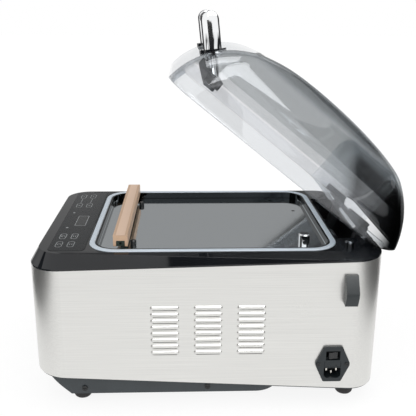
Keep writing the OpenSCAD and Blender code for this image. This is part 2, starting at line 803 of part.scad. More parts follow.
module fan_rotor() {
    color("#24282b") translate([fan_x, fan_y, fan_z]) {
        rod_x(-8.5, 10, 0, 0, 32);
        for (i = [0:6]) rotate([i * 360 / 7, 0, 0])
            translate([0, 0, 15]) rotate([0, 0, 32]) block([-1, -11, 0], [1, 11, 21]);
    }
}
module fan_screws() {
    color("silver") for (sy = [-1, 1], sz = [-1, 1])
        translate([fan_x - 12.5, fan_y + sy * 36, fan_z + sz * 36]) rotate([0, -90, 0])
            screw(4, 7, 2.4, 22);
}
module lid_switch() {
    color("#2b2e31") translate([knob_x, knob_y, 0]) difference() {
        block([-12, -8, 192], [12, 8, 212]);
        rod_z(0, 0, 196, 213, 5 + 2 * fit);
    }
}
module switch_plunger() {
    color("#181818") translate([knob_x, knob_y, 0]) {
        rod_z(0, 0, 202, top_z, 5);
        rod_z(0, 0, top_z - 2, knob_top - 2, knob_d);
        translate([0, 0, knob_top - 2]) cylinder(d1 = knob_d, d2 = 8, h = 2);
    }
}

translate(place) steel_wrap();
translate(place) base_pan();
translate(place) rubber_feet();
translate(place) foot_screws();
translate(place) base_screws();
translate(place) top_bezel();
translate(place) touch_panel();
translate(place) display_window();
translate(place) chamber_pan();
translate(place) chamber_gasket();
translate(place) vacuum_nozzle();
translate(place) terminal_posts();
translate(place) bar_bladder();
translate(place) hinge_well();
translate(place) hinge_blocks();
translate(place) hinge_shaft();
translate(place) hinge_springs();
translate(place) inlet_housing();
translate(place) inlet_pins();
translate(place) inlet_screws();
translate(place) rocker_switch();
translate(place) fuse_drawer();
translate(place) glass_fuse();
translate(place) cord_hook();
translate(place) hook_screws();
translate(place) pump_mounts();
translate(place) pump_motor();
translate(place) pump_head();
translate(place) pump_cylinders();
translate(place) pump_fan();
translate(place) transformer_core();
translate(place) transformer_coil();
translate(place) control_board();
translate(place) board_standoffs();
translate(place) board_parts();
translate(place) display_board();
translate(place) vacuum_valve();
translate(place) release_valve();
translate(place) vacuum_hose();
translate(place) valve_hose();
translate(place) pressure_sensor();
translate(place) fan_frame();
translate(place) fan_rotor();
translate(place) fan_screws();
translate(place) lid_switch();
translate(place) switch_plunger();
translate(place) seal_bar();
translate(place) bar_core();
translate(place) heat_strip();
translate(place) bar_tape();
translate(place) lid_dome();
translate(place) lid_rim();
translate(place) lid_bulkhead();
translate(place) lid_rear_cover();
translate(place) hinge_arms();
translate(place) pressure_bar();
translate(place) pressure_pad();
translate(place) handle_bases();
translate(place) lid_handle();
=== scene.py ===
import json
import math
import bmesh
import bpy
import numpy as np
from mathutils import Matrix, Vector

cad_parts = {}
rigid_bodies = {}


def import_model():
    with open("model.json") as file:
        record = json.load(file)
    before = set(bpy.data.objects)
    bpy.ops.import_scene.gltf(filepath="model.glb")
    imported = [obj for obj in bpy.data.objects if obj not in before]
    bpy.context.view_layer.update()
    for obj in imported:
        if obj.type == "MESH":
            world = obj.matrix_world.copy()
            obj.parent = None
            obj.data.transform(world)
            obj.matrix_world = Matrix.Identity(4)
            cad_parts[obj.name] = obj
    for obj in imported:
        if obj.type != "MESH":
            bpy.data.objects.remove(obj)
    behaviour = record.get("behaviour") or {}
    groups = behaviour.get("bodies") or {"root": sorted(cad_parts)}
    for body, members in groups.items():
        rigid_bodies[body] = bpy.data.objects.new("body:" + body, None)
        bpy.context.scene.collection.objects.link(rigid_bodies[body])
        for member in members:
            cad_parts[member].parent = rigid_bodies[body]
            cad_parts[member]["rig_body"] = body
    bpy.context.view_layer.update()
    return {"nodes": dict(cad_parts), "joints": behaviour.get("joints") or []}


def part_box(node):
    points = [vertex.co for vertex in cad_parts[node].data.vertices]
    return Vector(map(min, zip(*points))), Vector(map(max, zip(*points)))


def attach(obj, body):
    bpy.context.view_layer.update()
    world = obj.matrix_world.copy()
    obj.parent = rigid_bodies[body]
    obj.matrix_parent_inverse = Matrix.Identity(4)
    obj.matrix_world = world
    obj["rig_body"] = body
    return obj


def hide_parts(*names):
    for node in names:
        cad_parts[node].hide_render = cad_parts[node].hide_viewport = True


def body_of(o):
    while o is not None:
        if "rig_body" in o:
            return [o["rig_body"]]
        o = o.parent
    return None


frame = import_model()
nodes = frame["nodes"]
scene = bpy.context.scene
MM = 0.001

# ---------------------------------------------------------------- places taken from the frame

pivot = Vector(next(j["pos_m"] for j in frame["joints"] if j["name"] == "lid_hinge"))
OPEN_ANGLE = math.radians(39)                  # how far the lid stands open at rest
gasket_lo, gasket_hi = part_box("chamber_gasket")
steel_lo, steel_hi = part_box("steel_wrap")
panel_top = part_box("touch_panel")[1].z / MM
centre_x = (gasket_lo.x + gasket_hi.x) / 2     # the body's middle plane

# local millimetres: X across from the middle plane, Y back from the body's middle, Z up
origin = Vector((centre_x, (steel_lo.y + steel_hi.y) / 2, 0))


def at(x, y, z):
    """A point of the body, in millimetres from its middle, as row metres."""
    return origin + Vector((x, y, z)) * MM


lid_open = (
    Matrix.Translation(pivot) @ Matrix.Rotation(-OPEN_ANGLE, 4, "X") @ Matrix.Translation(-pivot)
)


def lid_at(x, y, z):
    """A point of the closed lid, in body millimetres, carried to where the open lid holds it."""
    return lid_open @ at(x, y, z)


# ---------------------------------------------------------------- node helpers


class Nodes:
    """A small writer for one material's node tree."""

    def __init__(self, name):
        self.material = bpy.data.materials.new(name)
        self.material.use_nodes = True
        self.tree = self.material.node_tree
        self.tree.nodes.clear()
        self.out = self.add("ShaderNodeOutputMaterial")

    def add(self, kind, **values):
        """A new node, with its own settings filled in."""
        node = self.tree.nodes.new(kind)
        for key, value in values.items():
            setattr(node, key, value)
        return node

    def link(self, a, b):
        self.tree.links.new(a, b)

    def coords(self, scale=(1, 1, 1)):
        """Places on the piece, in metres, stretched by a scale for each axis."""
        tex = self.add("ShaderNodeTexCoord")
        mapping = self.add("ShaderNodeMapping")
        mapping.inputs["Scale"].default_value = scale
        self.link(tex.outputs["Object"], mapping.inputs["Vector"])
        return mapping.outputs["Vector"]

    def noise(self, vector, scale, detail=4.0, rough=0.55):
        node = self.add("ShaderNodeTexNoise")
        node.inputs["Scale"].default_value = scale
        node.inputs["Detail"].default_value = detail
        node.inputs["Roughness"].default_value = rough
        self.link(vector, node.inputs["Vector"])
        return node.outputs["Fac"]

    def ramp(self, value, low, high, a=0.3, b=0.7):
        """A colour that goes from low, where the value is a, to high, where it is b."""
        node = self.add("ShaderNodeValToRGB")
        node.color_ramp.elements[0].position = a
        node.color_ramp.elements[1].position = b
        node.color_ramp.elements[0].color = (*low, 1)
        node.color_ramp.elements[1].color = (*high, 1)
        self.link(value, node.inputs["Fac"])
        return node.outputs["Color"]

    def to_range(self, value, low, high, a=0.3, b=0.7):
        """A number that goes from low, where the value is a, to high, where it is b."""
        node = self.add("ShaderNodeMapRange")
        node.inputs["From Min"].default_value = a
        node.inputs["From Max"].default_value = b
        node.inputs["To Min"].default_value = low
        node.inputs["To Max"].default_value = high
        self.link(value, node.inputs["Value"])
        return node.outputs["Result"]

    def bump(self, value, strength, distance=0.001):
        node = self.add("ShaderNodeBump")
        node.inputs["Strength"].default_value = strength
        node.inputs["Distance"].default_value = distance
        self.link(value, node.inputs["Height"])
        return node.outputs["Normal"]

    def facing(self):
        """0 where the surface faces the eye, 1 where it is seen edge-on."""
        node = self.add("ShaderNodeLayerWeight")
        node.inputs["Blend"].default_value = 0.5
        return node.outputs["Facing"]

    def maths(self, operation, a, b, **values):
        """Two values, each a socket or a number, joined by one operation."""
        node = self.add("ShaderNodeMath", operation=operation, **values)
        for socket, value in zip(node.inputs, (a, b)):
            if isinstance(value, (int, float)):
                socket.default_value = value
            else:
                self.link(value, socket)
        return node.outputs[0]

    def along(self, axis):
        """How far a point lies along an axis, in metres from its piece's origin."""
        node = self.add("ShaderNodeVectorMath", operation="DOT_PRODUCT")
        node.inputs[1].default_value = axis
        self.link(self.coords(), node.inputs[0])
        return node.outputs["Value"]

    def blend(self, factor, a, b):
        """A mix of two colours, each a socket or an RGB triple."""
        node = self.add("ShaderNodeMix", data_type="RGBA")
        self.link(factor, node.inputs["Factor"])
        for socket, value in ((node.inputs["A"], a), (node.inputs["B"], b)):
            if isinstance(value, tuple):
                socket.default_value = (*value, 1)
            else:
                self.link(value, socket)
        return node.outputs["Result"]

    def mixed_surface(self, factor, a, b):
        """The output as a mix of two shader nodes."""
        node = self.add("ShaderNodeMixShader")
        self.link(factor, node.inputs["Fac"])
        self.link(a.outputs["BSDF"], node.inputs[1])
        self.link(b.outputs["BSDF"], node.inputs[2])
        self.link(node.outputs["Shader"], self.out.inputs["Surface"])

    def principled(self, **values):
        """The one shader of a plain surface, linked to the output."""
        node = self.add("ShaderNodeBsdfPrincipled")
        for key, value in values.items():
            node.inputs[key.replace("_", " ").title().replace("Ior", "IOR")].default_value = value
        self.link(node.outputs["BSDF"], self.out.inputs["Surface"])
        return node


def shade(colour, factor):
    """A colour made darker or lighter."""
    return tuple(min(1.0, c * factor) for c in colour)


def plain_material(
    name, colour, rough, metal=0.0, vary=0.08, grain=900, bump=0.05, stretch=(1, 1, 1), gloss=0.5,
):
    """A material whose colour, roughness and surface all vary finely over the piece."""
    n = Nodes(name)
    where = n.coords(stretch)
    fine = n.noise(where, grain)
    broad = n.noise(where, grain / 40, detail=2.0)
    surface = n.principled(metallic=metal, specular_ior_level=gloss)
    colours = n.ramp(broad, shade(colour, 1 - vary), shade(colour, 1 + vary))
    n.link(colours, surface.inputs["Base Color"])
    n.link(n.to_range(fine, rough * 0.85, rough * 1.15), surface.inputs["Roughness"])
    n.link(n.bump(fine, bump, 0.0004), surface.inputs["Normal"])
    return n.material


def brushed_steel(name, colour, rough):
    """Steel with fine brush lines that run front to back."""
    across, along = 420.0, 2.0                 # how finely the brush lines vary each way
    n = Nodes(name)
    lines = n.noise(n.coords((across, along, across)), 3.0, detail=8.0, rough=0.7)
    cloud = n.noise(n.coords(), 6.0, detail=2.0)
    surface = n.principled(metallic=1.0)
    n.link(n.ramp(lines, shade(colour, 0.90), shade(colour, 1.06)), surface.inputs["Base Color"])
    uneven = n.maths("ADD", n.maths("MULTIPLY", lines, 0.75), cloud)
    n.link(n.to_range(uneven, rough * 0.85, rough * 1.2, 0.5, 1.2), surface.inputs["Roughness"])
    n.link(n.bump(lines, 0.16, 0.0002), surface.inputs["Normal"])
    return n.material


def plating(n, smear, colour, rough, dark_rough, painted_dark_reflection, painted_dark_colour):
    """Mirror plating mixed with a dark gloss surface as far as the painted dark reflection says.
    """
    bright = n.add("ShaderNodeBsdfPrincipled")
    bright.inputs["Metallic"].default_value = 1.0
    n.link(colour, bright.inputs["Base Color"])
    n.link(n.to_range(smear, *rough), bright.inputs["Roughness"])
    dark = n.add("ShaderNodeBsdfPrincipled")
    dark.inputs["Roughness"].default_value = dark_rough
    dark.inputs["Specular IOR Level"].default_value = 0.1
    # painted dark reflection: colour of the dark surface that stands in for dark surroundings
    # mirrored in the plating
    n.link(n.ramp(smear, painted_dark_colour, (0.025, 0.025, 0.028)), dark.inputs["Base Color"])
    n.mixed_surface(painted_dark_reflection, bright, dark)
    return n.material


def polished_chrome(name):
    """Mirror-bright plating, with a painted dark reflection where it is seen edge-on."""
    n = Nodes(name)
    smear = n.noise(n.coords(), 40.0, detail=3.0)
    colour = n.ramp(smear, (0.82, 0.83, 0.84), (0.90, 0.90, 0.91))
    # painted dark reflection: the chrome turns to the dark surface where it is seen edge-on
    painted_dark_reflection = n.to_range(n.facing(), 0.0, 1.0, 0.66, 0.9)
    return plating(n, smear, colour, (0.03, 0.08), 0.5, painted_dark_reflection, (0.015, 0.015, 0.017))


SKIRT_Z = 268.0                                # top of the clearer band round the lid's foot
SKIRT_TINT = (0.925, 0.925, 0.93)
# painted shade: the near-black colour that the lid's edges take towards its rear end
REAR_PAINTED_SHADE = (0.01, 0.012, 0.014)
LID_UP = Vector((0, math.sin(OPEN_ANGLE), math.cos(OPEN_ANGLE)))
LID_BACK = Vector((0, math.cos(OPEN_ANGLE), -math.sin(OPEN_ANGLE)))
# where the lid changes towards its rear end, as from and to places along LID_BACK in metres;
# EDGES_BLACKEN and EDGES_WIDEN place the painted near-black shade round its rear edges
SKIRT_ENDS, SHINE_FADES = (-0.02, 0.03), (-0.04, 0.03)
EDGES_BLACKEN, EDGES_WIDEN = (0.0, 0.02), (-0.05, 0.02)


def clear_sheet(name, tint, edge_tint, mirror, smoked=False):
    """See-through sheet: clear where it faces the eye, darker and shinier edge-on.

    A smoked sheet is the lid's own: clearer in its skirt, with painted near-black shade round its
    rear end.
    """
    n = Nodes(name)
    haze = n.noise(n.coords(), 5.0, detail=2.0)
    facing = n.facing()

    def steepness(power, scale=1.0):
        return n.maths("MULTIPLY", n.maths("POWER", facing, power), scale)

    colour = n.ramp(haze, shade(tint, 0.985), shade(tint, 1.01))
    edge, edge_share = edge_tint, steepness(3.0)
    shine = n.maths("ADD", steepness(5.0, 0.9), mirror)
    if smoked:
        back = n.along(LID_BACK)
        skirt_top = lid_at(0, 0, SKIRT_Z).dot(LID_UP)
        above_skirt = n.to_range(n.along(LID_UP), 0.0, 1.0, skirt_top - MM, skirt_top + MM)
        behind = n.to_range(back, 0.0, 1.0, *SKIRT_ENDS)
        colour = n.blend(n.maths("MAXIMUM", above_skirt, behind), SKIRT_TINT, colour)
        # painted shade: the edges turn near black towards the rear, and the dark band widens there
        edge = n.ramp(back, edge_tint, REAR_PAINTED_SHADE, *EDGES_BLACKEN)
        wider_painted_shade = n.maths("MULTIPLY", n.to_range(back, 0.0, 1.6, *EDGES_WIDEN),
                         steepness(1.2, 1.6), use_clamp=True)
        edge_share = n.maths("MAXIMUM", wider_painted_shade, edge_share)
        shine = n.maths("MULTIPLY", shine, n.to_range(back, 1.0, 0.15, *SHINE_FADES))
    clear = n.add("ShaderNodeBsdfTransparent")
    n.link(n.blend(edge_share, colour, edge), clear.inputs["Color"])
    gloss = n.add("ShaderNodeBsdfPrincipled")
    gloss.inputs["Metallic"].default_value = 1.0
    gloss.inputs["Base Color"].default_value = (0.95, 0.97, 1.0, 1)
    n.link(n.to_range(haze, 0.015, 0.035), gloss.inputs["Roughness"])
    n.mixed_surface(shine, clear, gloss)
    return n.material


PAN_WALL_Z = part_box("chamber_pan")[0].z + 4.5 * MM   # where the walls begin, above the floor


def dark_pan(name):
    """Polished dark sheet: near black where it faces the eye, bright where it is seen flat."""
    n = Nodes(name)
    lines = n.noise(n.coords((4.0, 300.0, 300.0)), 3.0, detail=6.0)
    floor_colour = n.ramp(n.facing(), (0.012, 0.013, 0.014), (0.92, 0.97, 1.0), 0.36, 0.60)
    is_wall = n.to_range(n.along((0, 0, 1)), 0.0, 1.0, PAN_WALL_Z, PAN_WALL_Z + MM)
    surface = n.principled(metallic=1.0)
    n.link(n.blend(is_wall, floor_colour, (0.025, 0.028, 0.030)), surface.inputs["Base Color"])
    n.link(n.to_range(lines, 0.05, 0.09), surface.inputs["Roughness"])
    n.link(n.bump(lines, 0.02, 0.0002), surface.inputs["Normal"])
    return n.material


STEEL = brushed_steel("brushed_steel", (0.725, 0.722, 0.70), 0.30)
CHAMBER_STEEL = dark_pan("chamber_sheet")
CHROME = polished_chrome("chrome")
DARK_CHROME = plain_material("dark_chrome", (0.14, 0.15, 0.16), 0.08, metal=1.0, vary=0.05,
                             bump=0.0)
ZINC = plain_material("zinc", (0.62, 0.63, 0.64), 0.3, metal=1.0, vary=0.06)
BLACK_GLOSS = plain_material("black_gloss", (0.006, 0.007, 0.009), 0.05, vary=0.3, grain=500,
                             bump=0.0)
PANEL = plain_material("panel_film", (0.012, 0.014, 0.016), 0.30, vary=0.1, bump=0.02, gloss=0.18)
DISPLAY = plain_material("display", (0.012, 0.014, 0.015), 0.2, vary=0.1, bump=0.01, gloss=0.3)
PRINT = plain_material("panel_print", (0.42, 0.44, 0.45), 0.5, vary=0.1)
GASKET = plain_material("gasket", (0.66, 0.74, 0.82), 0.38, vary=0.03, bump=0.03)
SLATE = plain_material("slate", (0.014, 0.019, 0.022), 0.36, vary=0.12, bump=0.08, gloss=0.4)
HOOK = plain_material("hook_plastic", (0.022, 0.028, 0.030), 0.32, vary=0.12, bump=0.08, gloss=0.4)
BASE = plain_material("base_paint", (0.034, 0.042, 0.047), 0.38, vary=0.1, bump=0.08)
BLACK_PLASTIC = plain_material("black_plastic", (0.010, 0.011, 0.012), 0.3, vary=0.2, bump=0.06)
RUBBER = plain_material("rubber", (0.012, 0.012, 0.012), 0.62, vary=0.2, bump=0.15)
BAR = plain_material("bar_tape", (0.82, 0.59, 0.44), 0.5, vary=0.10, grain=260, bump=0.1,
                     stretch=(0.05, 1, 1))
BAR_SIDE = plain_material("bar_gold", (0.66, 0.44, 0.29), 0.42, vary=0.12, grain=300,
                          stretch=(0.05, 1, 1))
BAR_CORE = plain_material("bar_core", (0.018, 0.035, 0.024), 0.5, vary=0.15)
STRIP = plain_material("heat_strip", (0.6, 0.45, 0.33), 0.4, metal=0.4)
GREY_STEEL = plain_material("grey_steel", (0.035, 0.038, 0.041), 0.35, metal=0.3)
SPRING = plain_material("spring_wire", (0.25, 0.26, 0.27), 0.35, metal=1.0)
BRASS = plain_material("brass", (0.62, 0.60, 0.55), 0.25, metal=1.0)
CAST = plain_material("cast_metal", (0.45, 0.46, 0.47), 0.5, metal=1.0, bump=0.3)
CORE_IRON = plain_material("core_iron", (0.12, 0.12, 0.13), 0.5, metal=0.6, stretch=(1, 6, 1))
COPPER = plain_material("copper_wire", (0.55, 0.24, 0.09), 0.35, metal=0.6, stretch=(1, 1, 8))
BOARD = plain_material("board", (0.02, 0.13, 0.06), 0.45)
HOSE = plain_material("hose", (0.50, 0.56, 0.60), 0.4)
PAD = plain_material("pad", (0.045, 0.052, 0.058), 0.5)
SMOKE = clear_sheet("smoky_acrylic", (0.775, 0.785, 0.79), (0.54, 0.56, 0.57), 0.05, smoked=True)
CLEAR = clear_sheet("clear_acrylic", (0.95, 0.96, 0.965), (0.70, 0.73, 0.76), 0.02)
GLASS = clear_sheet("fuse_glass", (0.95, 0.97, 0.97), (0.8, 0.82, 0.82), 0.035)

FINISH = {
    "steel_wrap": STEEL, "base_pan": BASE, "rubber_feet": RUBBER, "foot_screws": ZINC,
    "base_screws": BLACK_PLASTIC, "top_bezel": BLACK_GLOSS, "touch_panel": PANEL,
    "display_window": DISPLAY, "chamber_pan": CHAMBER_STEEL, "chamber_gasket": GASKET,
    "vacuum_nozzle": CHROME, "terminal_posts": BLACK_PLASTIC, "bar_bladder": RUBBER,
    "hinge_well": BLACK_PLASTIC, "hinge_blocks": GREY_STEEL, "hinge_shaft": CHROME,
    "hinge_springs": SPRING, "inlet_housing": SLATE, "inlet_pins": BRASS,
    "inlet_screws": BLACK_PLASTIC, "rocker_switch": BLACK_PLASTIC, "fuse_drawer": SLATE,
    "glass_fuse": GLASS, "cord_hook": HOOK, "hook_screws": ZINC, "pump_mounts": RUBBER,
    "pump_motor": CAST, "pump_head": CAST, "pump_cylinders": CAST, "pump_fan": GREY_STEEL,
    "transformer_core": CORE_IRON, "transformer_coil": COPPER, "control_board": BOARD,
    "board_standoffs": BRASS, "board_parts": BLACK_PLASTIC, "display_board": BOARD,
    "vacuum_valve": BLACK_PLASTIC, "release_valve": BLACK_PLASTIC, "vacuum_hose": HOSE,
    "valve_hose": HOSE, "pressure_sensor": BLACK_PLASTIC, "fan_frame": BLACK_PLASTIC,
    "fan_rotor": BLACK_PLASTIC, "fan_screws": ZINC, "lid_switch": BLACK_PLASTIC,
    "switch_plunger": DARK_CHROME, "seal_bar": BAR_SIDE, "bar_core": BAR_CORE,
    "heat_strip": STRIP, "bar_tape": BAR, "lid_dome": SMOKE, "lid_rim": CLEAR,
    "lid_bulkhead": CLEAR, "lid_rear_cover": BLACK_GLOSS, "hinge_arms": GREY_STEEL,
    "pressure_bar": CHROME, "pressure_pad": PAD, "handle_bases": BLACK_GLOSS,
    "lid_handle": CHROME,
}
for node_name, finish in FINISH.items():
    mesh = nodes[node_name].data
    mesh.materials.clear()
    mesh.materials.append(finish)


# ---------------------------------------------------------------- mesh helpers


def new_piece(name, verts, faces, material, body, smooth=True):
    """A piece of its own on a body, from points and faces."""
    mesh = bpy.data.meshes.new(name)
    mesh.from_pydata([tuple(v) for v in verts], [], [tuple(f) for f in faces])
    mesh.validate()
    mesh.materials.append(material)
    for face in mesh.polygons:
        face.use_smooth = smooth
    piece = bpy.data.objects.new(name, mesh)
    scene.collection.objects.link(piece)
    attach(piece, body)
    return piece


def settle(piece, sharp):
    """Bakes the piece's modifiers and keeps only its steeper edges sharp."""
    depsgraph = bpy.context.evaluated_depsgraph_get()
    mesh = bpy.data.meshes.new_from_object(piece.evaluated_get(depsgraph))
    piece.modifiers.clear()
    piece.data = mesh
    for face in mesh.polygons:
        face.use_smooth = True
    mesh.set_sharp_from_angle(angle=math.radians(sharp))


SAME_POINT, SAME_PLANE = 0.002 * MM, math.radians(0.6)
SHARP_EDGE = math.radians(32)                  # edges steeper than this are rounded


def rounded(node_name, width, segments):
    """The CAD node again, with its edges rounded to so many millimetres."""
    source = nodes[node_name]
    bm = bmesh.new()
    bm.from_mesh(source.data)
    bmesh.ops.remove_doubles(bm, verts=bm.verts, dist=SAME_POINT)
    bmesh.ops.dissolve_limit(bm, angle_limit=SAME_PLANE, verts=bm.verts, edges=bm.edges)
    mesh = bpy.data.meshes.new(node_name + "_rounded")
    bm.to_mesh(mesh)
    bm.free()
    mesh.materials.append(FINISH[node_name])
    for face in mesh.polygons:
        face.use_smooth = True
    piece = bpy.data.objects.new(node_name + "_rounded", mesh)
    scene.collection.objects.link(piece)
    piece.matrix_world = source.matrix_world
    edge = piece.modifiers.new("edge", "BEVEL")
    edge.width = width * MM
    edge.segments = segments
    edge.limit_method = "ANGLE"
    edge.angle_limit = SHARP_EDGE
    edge.use_clamp_overlap = True
    even = piece.modifiers.new("even", "WEIGHTED_NORMAL")   # broad flats stay flat when shaded
    even.weight = 100
    settle(piece, 50)
    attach(piece, body_of(source)[0])
    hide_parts(node_name)


# ---------------------------------------------------------------- the domed lid

LID_HALF = 148.0                               # half the lid's width
LID_FRONT, LID_REAR = -168.0, 241.0
LID_BASE = 229.9
LID_EDGE_R = 42.0                              # rounding between the lid's top and its sides
CROWN_Y, CROWN_Z, CROWN_R = 36.5, 347.0, 435.0   # the long top arc: its highest point, its radius
ARCH_R = 330.0                                 # the top's arch from side to side
CROWN_BLEND = 6.0                              # rounding where the arch meets the side outline
FRONT_Z, REAR_Z = 218.0, 197.0                 # heights of the end arcs' centres
TAIL_Y, TAIL_RISE = 187.0, math.radians(20)    # behind here the foot of the lid slopes up


def end_radius(reach, z):
    """Radius of an end arc that is tangent to the long top arc."""
    rise = z - CROWN_Z + CROWN_R
    return (CROWN_R**2 - reach**2 - rise**2) / (2 * (CROWN_R - reach))


FRONT_R = end_radius(CROWN_Y - LID_FRONT, FRONT_Z)
REAR_R = end_radius(LID_REAR - CROWN_Y, REAR_Z)


def outline_gap(y, z):
    """How far a point of the side view lies outside the lid's outline."""
    top_z = CROWN_Z - CROWN_R
    y_front, y_rear = LID_FRONT + FRONT_R, LID_REAR - REAR_R
    top = np.hypot(y - CROWN_Y, z - top_z) - CROWN_R
    front = np.hypot(y - y_front, z - FRONT_Z) - FRONT_R
    rear = np.hypot(y - y_rear, z - REAR_Z) - REAR_R
    slope_front = (y_front - CROWN_Y) / (FRONT_Z - top_z)
    slope_rear = (y_rear - CROWN_Y) / (REAR_Z - top_z)
    is_front = (y - CROWN_Y) < slope_front * (z - top_z)
    is_rear = (y - CROWN_Y) > slope_rear * (z - top_z)
    return np.where(is_front, front, np.where(is_rear, rear, top))


def smooth_max(values, size):
    """The largest of several distances, rounded where two of them are close."""
    stack = np.stack([np.maximum(v + size, 0) for v in values])
    return np.sqrt((stack**2).sum(0)) - size + np.minimum(np.max(np.stack(values), 0) + size, 0)


def lid_gap(p, inset):
    """How far points lie outside the closed lid's skin, which is set in by so much."""
    x, y, z = np.abs(p[..., 0]), p[..., 1], p[..., 2]
    arch = np.hypot(x, z - (CROWN_Z - ARCH_R)) - ARCH_R
    crown = smooth_max([outline_gap(y, z), arch], CROWN_BLEND)
    return smooth_max([crown, x - LID_HALF], LID_EDGE_R) + inset


RAYS_ROUND, RAYS_UP = 160, 56                  # how finely the skin is drawn
RAY_Y, RAY_REACH, HALVINGS = 30.0, 420.0, 40   # where rays start, how far and finely they look
CORNER_SHARE = 0.775                           # below 1, the plan's corners get more rays


def lid_surface(inset):
    """Points of the lid's skin, from its rim (row 0) to the top, in body millimetres."""
    middle = np.array([0.0, RAY_Y, LID_BASE])
    turn = np.linspace(0, 2 * math.pi, RAYS_ROUND, endpoint=False)
    flat = np.zeros((RAYS_ROUND, 3))
    reach = (LID_HALF, (LID_REAR - LID_FRONT) / 2)
    for axis, wave in enumerate((np.cos(turn), np.sin(turn))):
        flat[:, axis] = np.sign(wave) * np.abs(wave) ** CORNER_SHARE * reach[axis]
    flat /= np.linalg.norm(flat, axis=-1, keepdims=True)
    lift = np.linspace(0, math.pi / 2, RAYS_UP)[:, None, None]
    ray = flat[None] * np.cos(lift) + np.array([0, 0, 1.0]) * np.sin(lift)
    near, far = np.zeros(ray.shape[:2]), np.full(ray.shape[:2], RAY_REACH)
    for _ in range(HALVINGS):
        mid = (near + far) / 2
        outside = lid_gap(middle + ray * mid[..., None], inset) > 0
        far = np.where(outside, mid, far)
        near = np.where(outside, near, mid)
    return middle + ray * near[..., None]


def grid_faces(rows, columns):
    """Faces between neighbouring rows of points that each close on themselves."""
    faces = []
    for i in range(rows - 1):
        for j in range(columns):
            k = (j + 1) % columns
            faces.append((i * columns + j, i * columns + k,
                          (i + 1) * columns + k, (i + 1) * columns + j))
    return faces


def closed_shell(outer, inner):
    """One closed skin from an outer and an inner surface of the same grid."""
    rows, columns = outer.shape[:2]
    verts = np.concatenate([outer[:-1].reshape(-1, 3), outer[-1, :1],
                            inner[:-1].reshape(-1, 3), inner[-1, :1]])
    count = (rows - 1) * columns
    faces = grid_faces(rows - 1, columns)
    top, last = count, (rows - 2) * columns
    faces += [(last + j, last + (j + 1) % columns, top) for j in range(columns)]
    skin = [tuple(reversed([v + count + 1 for v in f])) for f in faces]
    rim = [(j, count + 1 + j, count + 1 + (j + 1) % columns, (j + 1) % columns)
           for j in range(columns)]
    return verts, faces + skin + rim


def cut_below(verts, faces, point, normal):
    """The part of a closed skin above a plane, closed again."""
    bm = bmesh.new()
    made = [bm.verts.new(v) for v in verts]
    for f in faces:
        bm.faces.new([made[i] for i in f])
    geometry = bm.verts[:] + bm.edges[:] + bm.faces[:]
    bmesh.ops.bisect_plane(bm, geom=geometry, plane_co=point, plane_no=normal, clear_inner=True)
    bmesh.ops.holes_fill(bm, edges=[e for e in bm.edges if e.is_boundary], sides=0)
    bmesh.ops.triangulate(bm, faces=[f for f in bm.faces if len(f.verts) > 4])
    bmesh.ops.recalc_face_normals(bm, faces=bm.faces)
    bm.verts.index_update()
    out_verts = [v.co.copy() for v in bm.verts]
    out_faces = [[v.index for v in f.verts] for f in bm.faces]
    bm.free()
    return out_verts, out_faces


LID_WALL, LID_SET_IN = 4.0, 0.3                # the skin lies a little inside the CAD dome's


def make_dome():
    """The lid's smooth skin, with its inner face, cut off along its sloping tail."""
    outer, inner = lid_surface(LID_SET_IN), lid_surface(LID_SET_IN + LID_WALL)
    verts, faces = closed_shell(outer, inner)
    tail = Vector((0, TAIL_Y, LID_BASE))
    normal = Vector((0, -math.sin(TAIL_RISE), math.cos(TAIL_RISE)))
    verts, faces = cut_below([Vector(v) for v in verts], faces, tail, normal)
    piece = new_piece("lid_shell", [lid_at(*v) for v in verts], faces, SMOKE, "lid")
    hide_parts("lid_dome")


make_dome()

# ---------------------------------------------------------------- pieces with their edges rounded

EDGES = {
    "top_bezel": 0.8, "chamber_gasket": 1.6, "bar_tape": 1.1, "seal_bar": 0.7, "cord_hook": 1.6,
    "inlet_housing": 0.7, "rocker_switch": 0.6, "fuse_drawer": 0.4, "handle_bases": 0.8,
    "pressure_bar": 0.8, "pressure_pad": 0.8, "terminal_posts": 0.5, "hinge_arms": 0.8,
    "touch_panel": 0.3, "vacuum_nozzle": 0.4,
}
for node_name, edge_width in EDGES.items():
    rounded(node_name, edge_width, 4 if edge_width > 1 else 3)

# ---------------------------------------------------------------- the chrome handle

CORNER_Y, CORNER_Z = -140.0, 290.0             # the place on the lid that the handle stands on
GRIP_SEAT, GRIP_TOP, GRIP_W = 5.0, 54.0, 24.0  # the end plates' feet, tops and width
PLATE_X, PLATE_EDGE, PLATE_DOME = 85.0, 2.2, 2.8
BAR_R, BAR_REACH = 9.5, 80.05
PIN_R, PIN_FROM, PIN_TO = 3.0, -9.0, GRIP_SEAT + 2.0
ROD_EDGE, ROD_TURNS = 0.5, 40


def grip_at(x, y, z):
    """A point of the handle, in its own millimetres: Z runs out of the lid's corner."""
    s = math.sqrt(0.5)
    return lid_at(x, CORNER_Y + (y - z) * s, CORNER_Z + (y + z) * s)


def plate_mesh(bm, middle_x):
    """One domed end plate: a pill shape with a flat foot."""
    r, turns, rings, steps = GRIP_W / 2, 28, 10, 12
    round_z = GRIP_TOP - r
    path = [(GRIP_SEAT + (round_z - GRIP_SEAT) * i / steps, 0.0) for i in range(steps)]
    path += [(round_z, math.pi * i / turns) for i in range(turns + 1)]
    path += [(z, math.pi) for z, _ in reversed(path[:steps])]
    profile = [math.sin(math.pi / 2 * k / rings) for k in range(rings + 1)]
    rows = []
    for z, turn in path:
        row = []
        for side, order in ((1, profile), (-1, reversed(profile))):
            for t in order:
                half = PLATE_EDGE + PLATE_DOME * math.sqrt(max(0.0, 1 - t * t))
                row.append(bm.verts.new(grip_at(middle_x + side * half, r * t * math.cos(turn),
                                                z + r * t * math.sin(turn))))
        rows.append(row)
    for a, b in zip(rows, rows[1:]):
        for k in range(len(a) - 1):
            bm.faces.new((a[k], a[k + 1], b[k + 1], b[k]))
    bm.faces.new(rows[0] + list(reversed(rows[-1])))


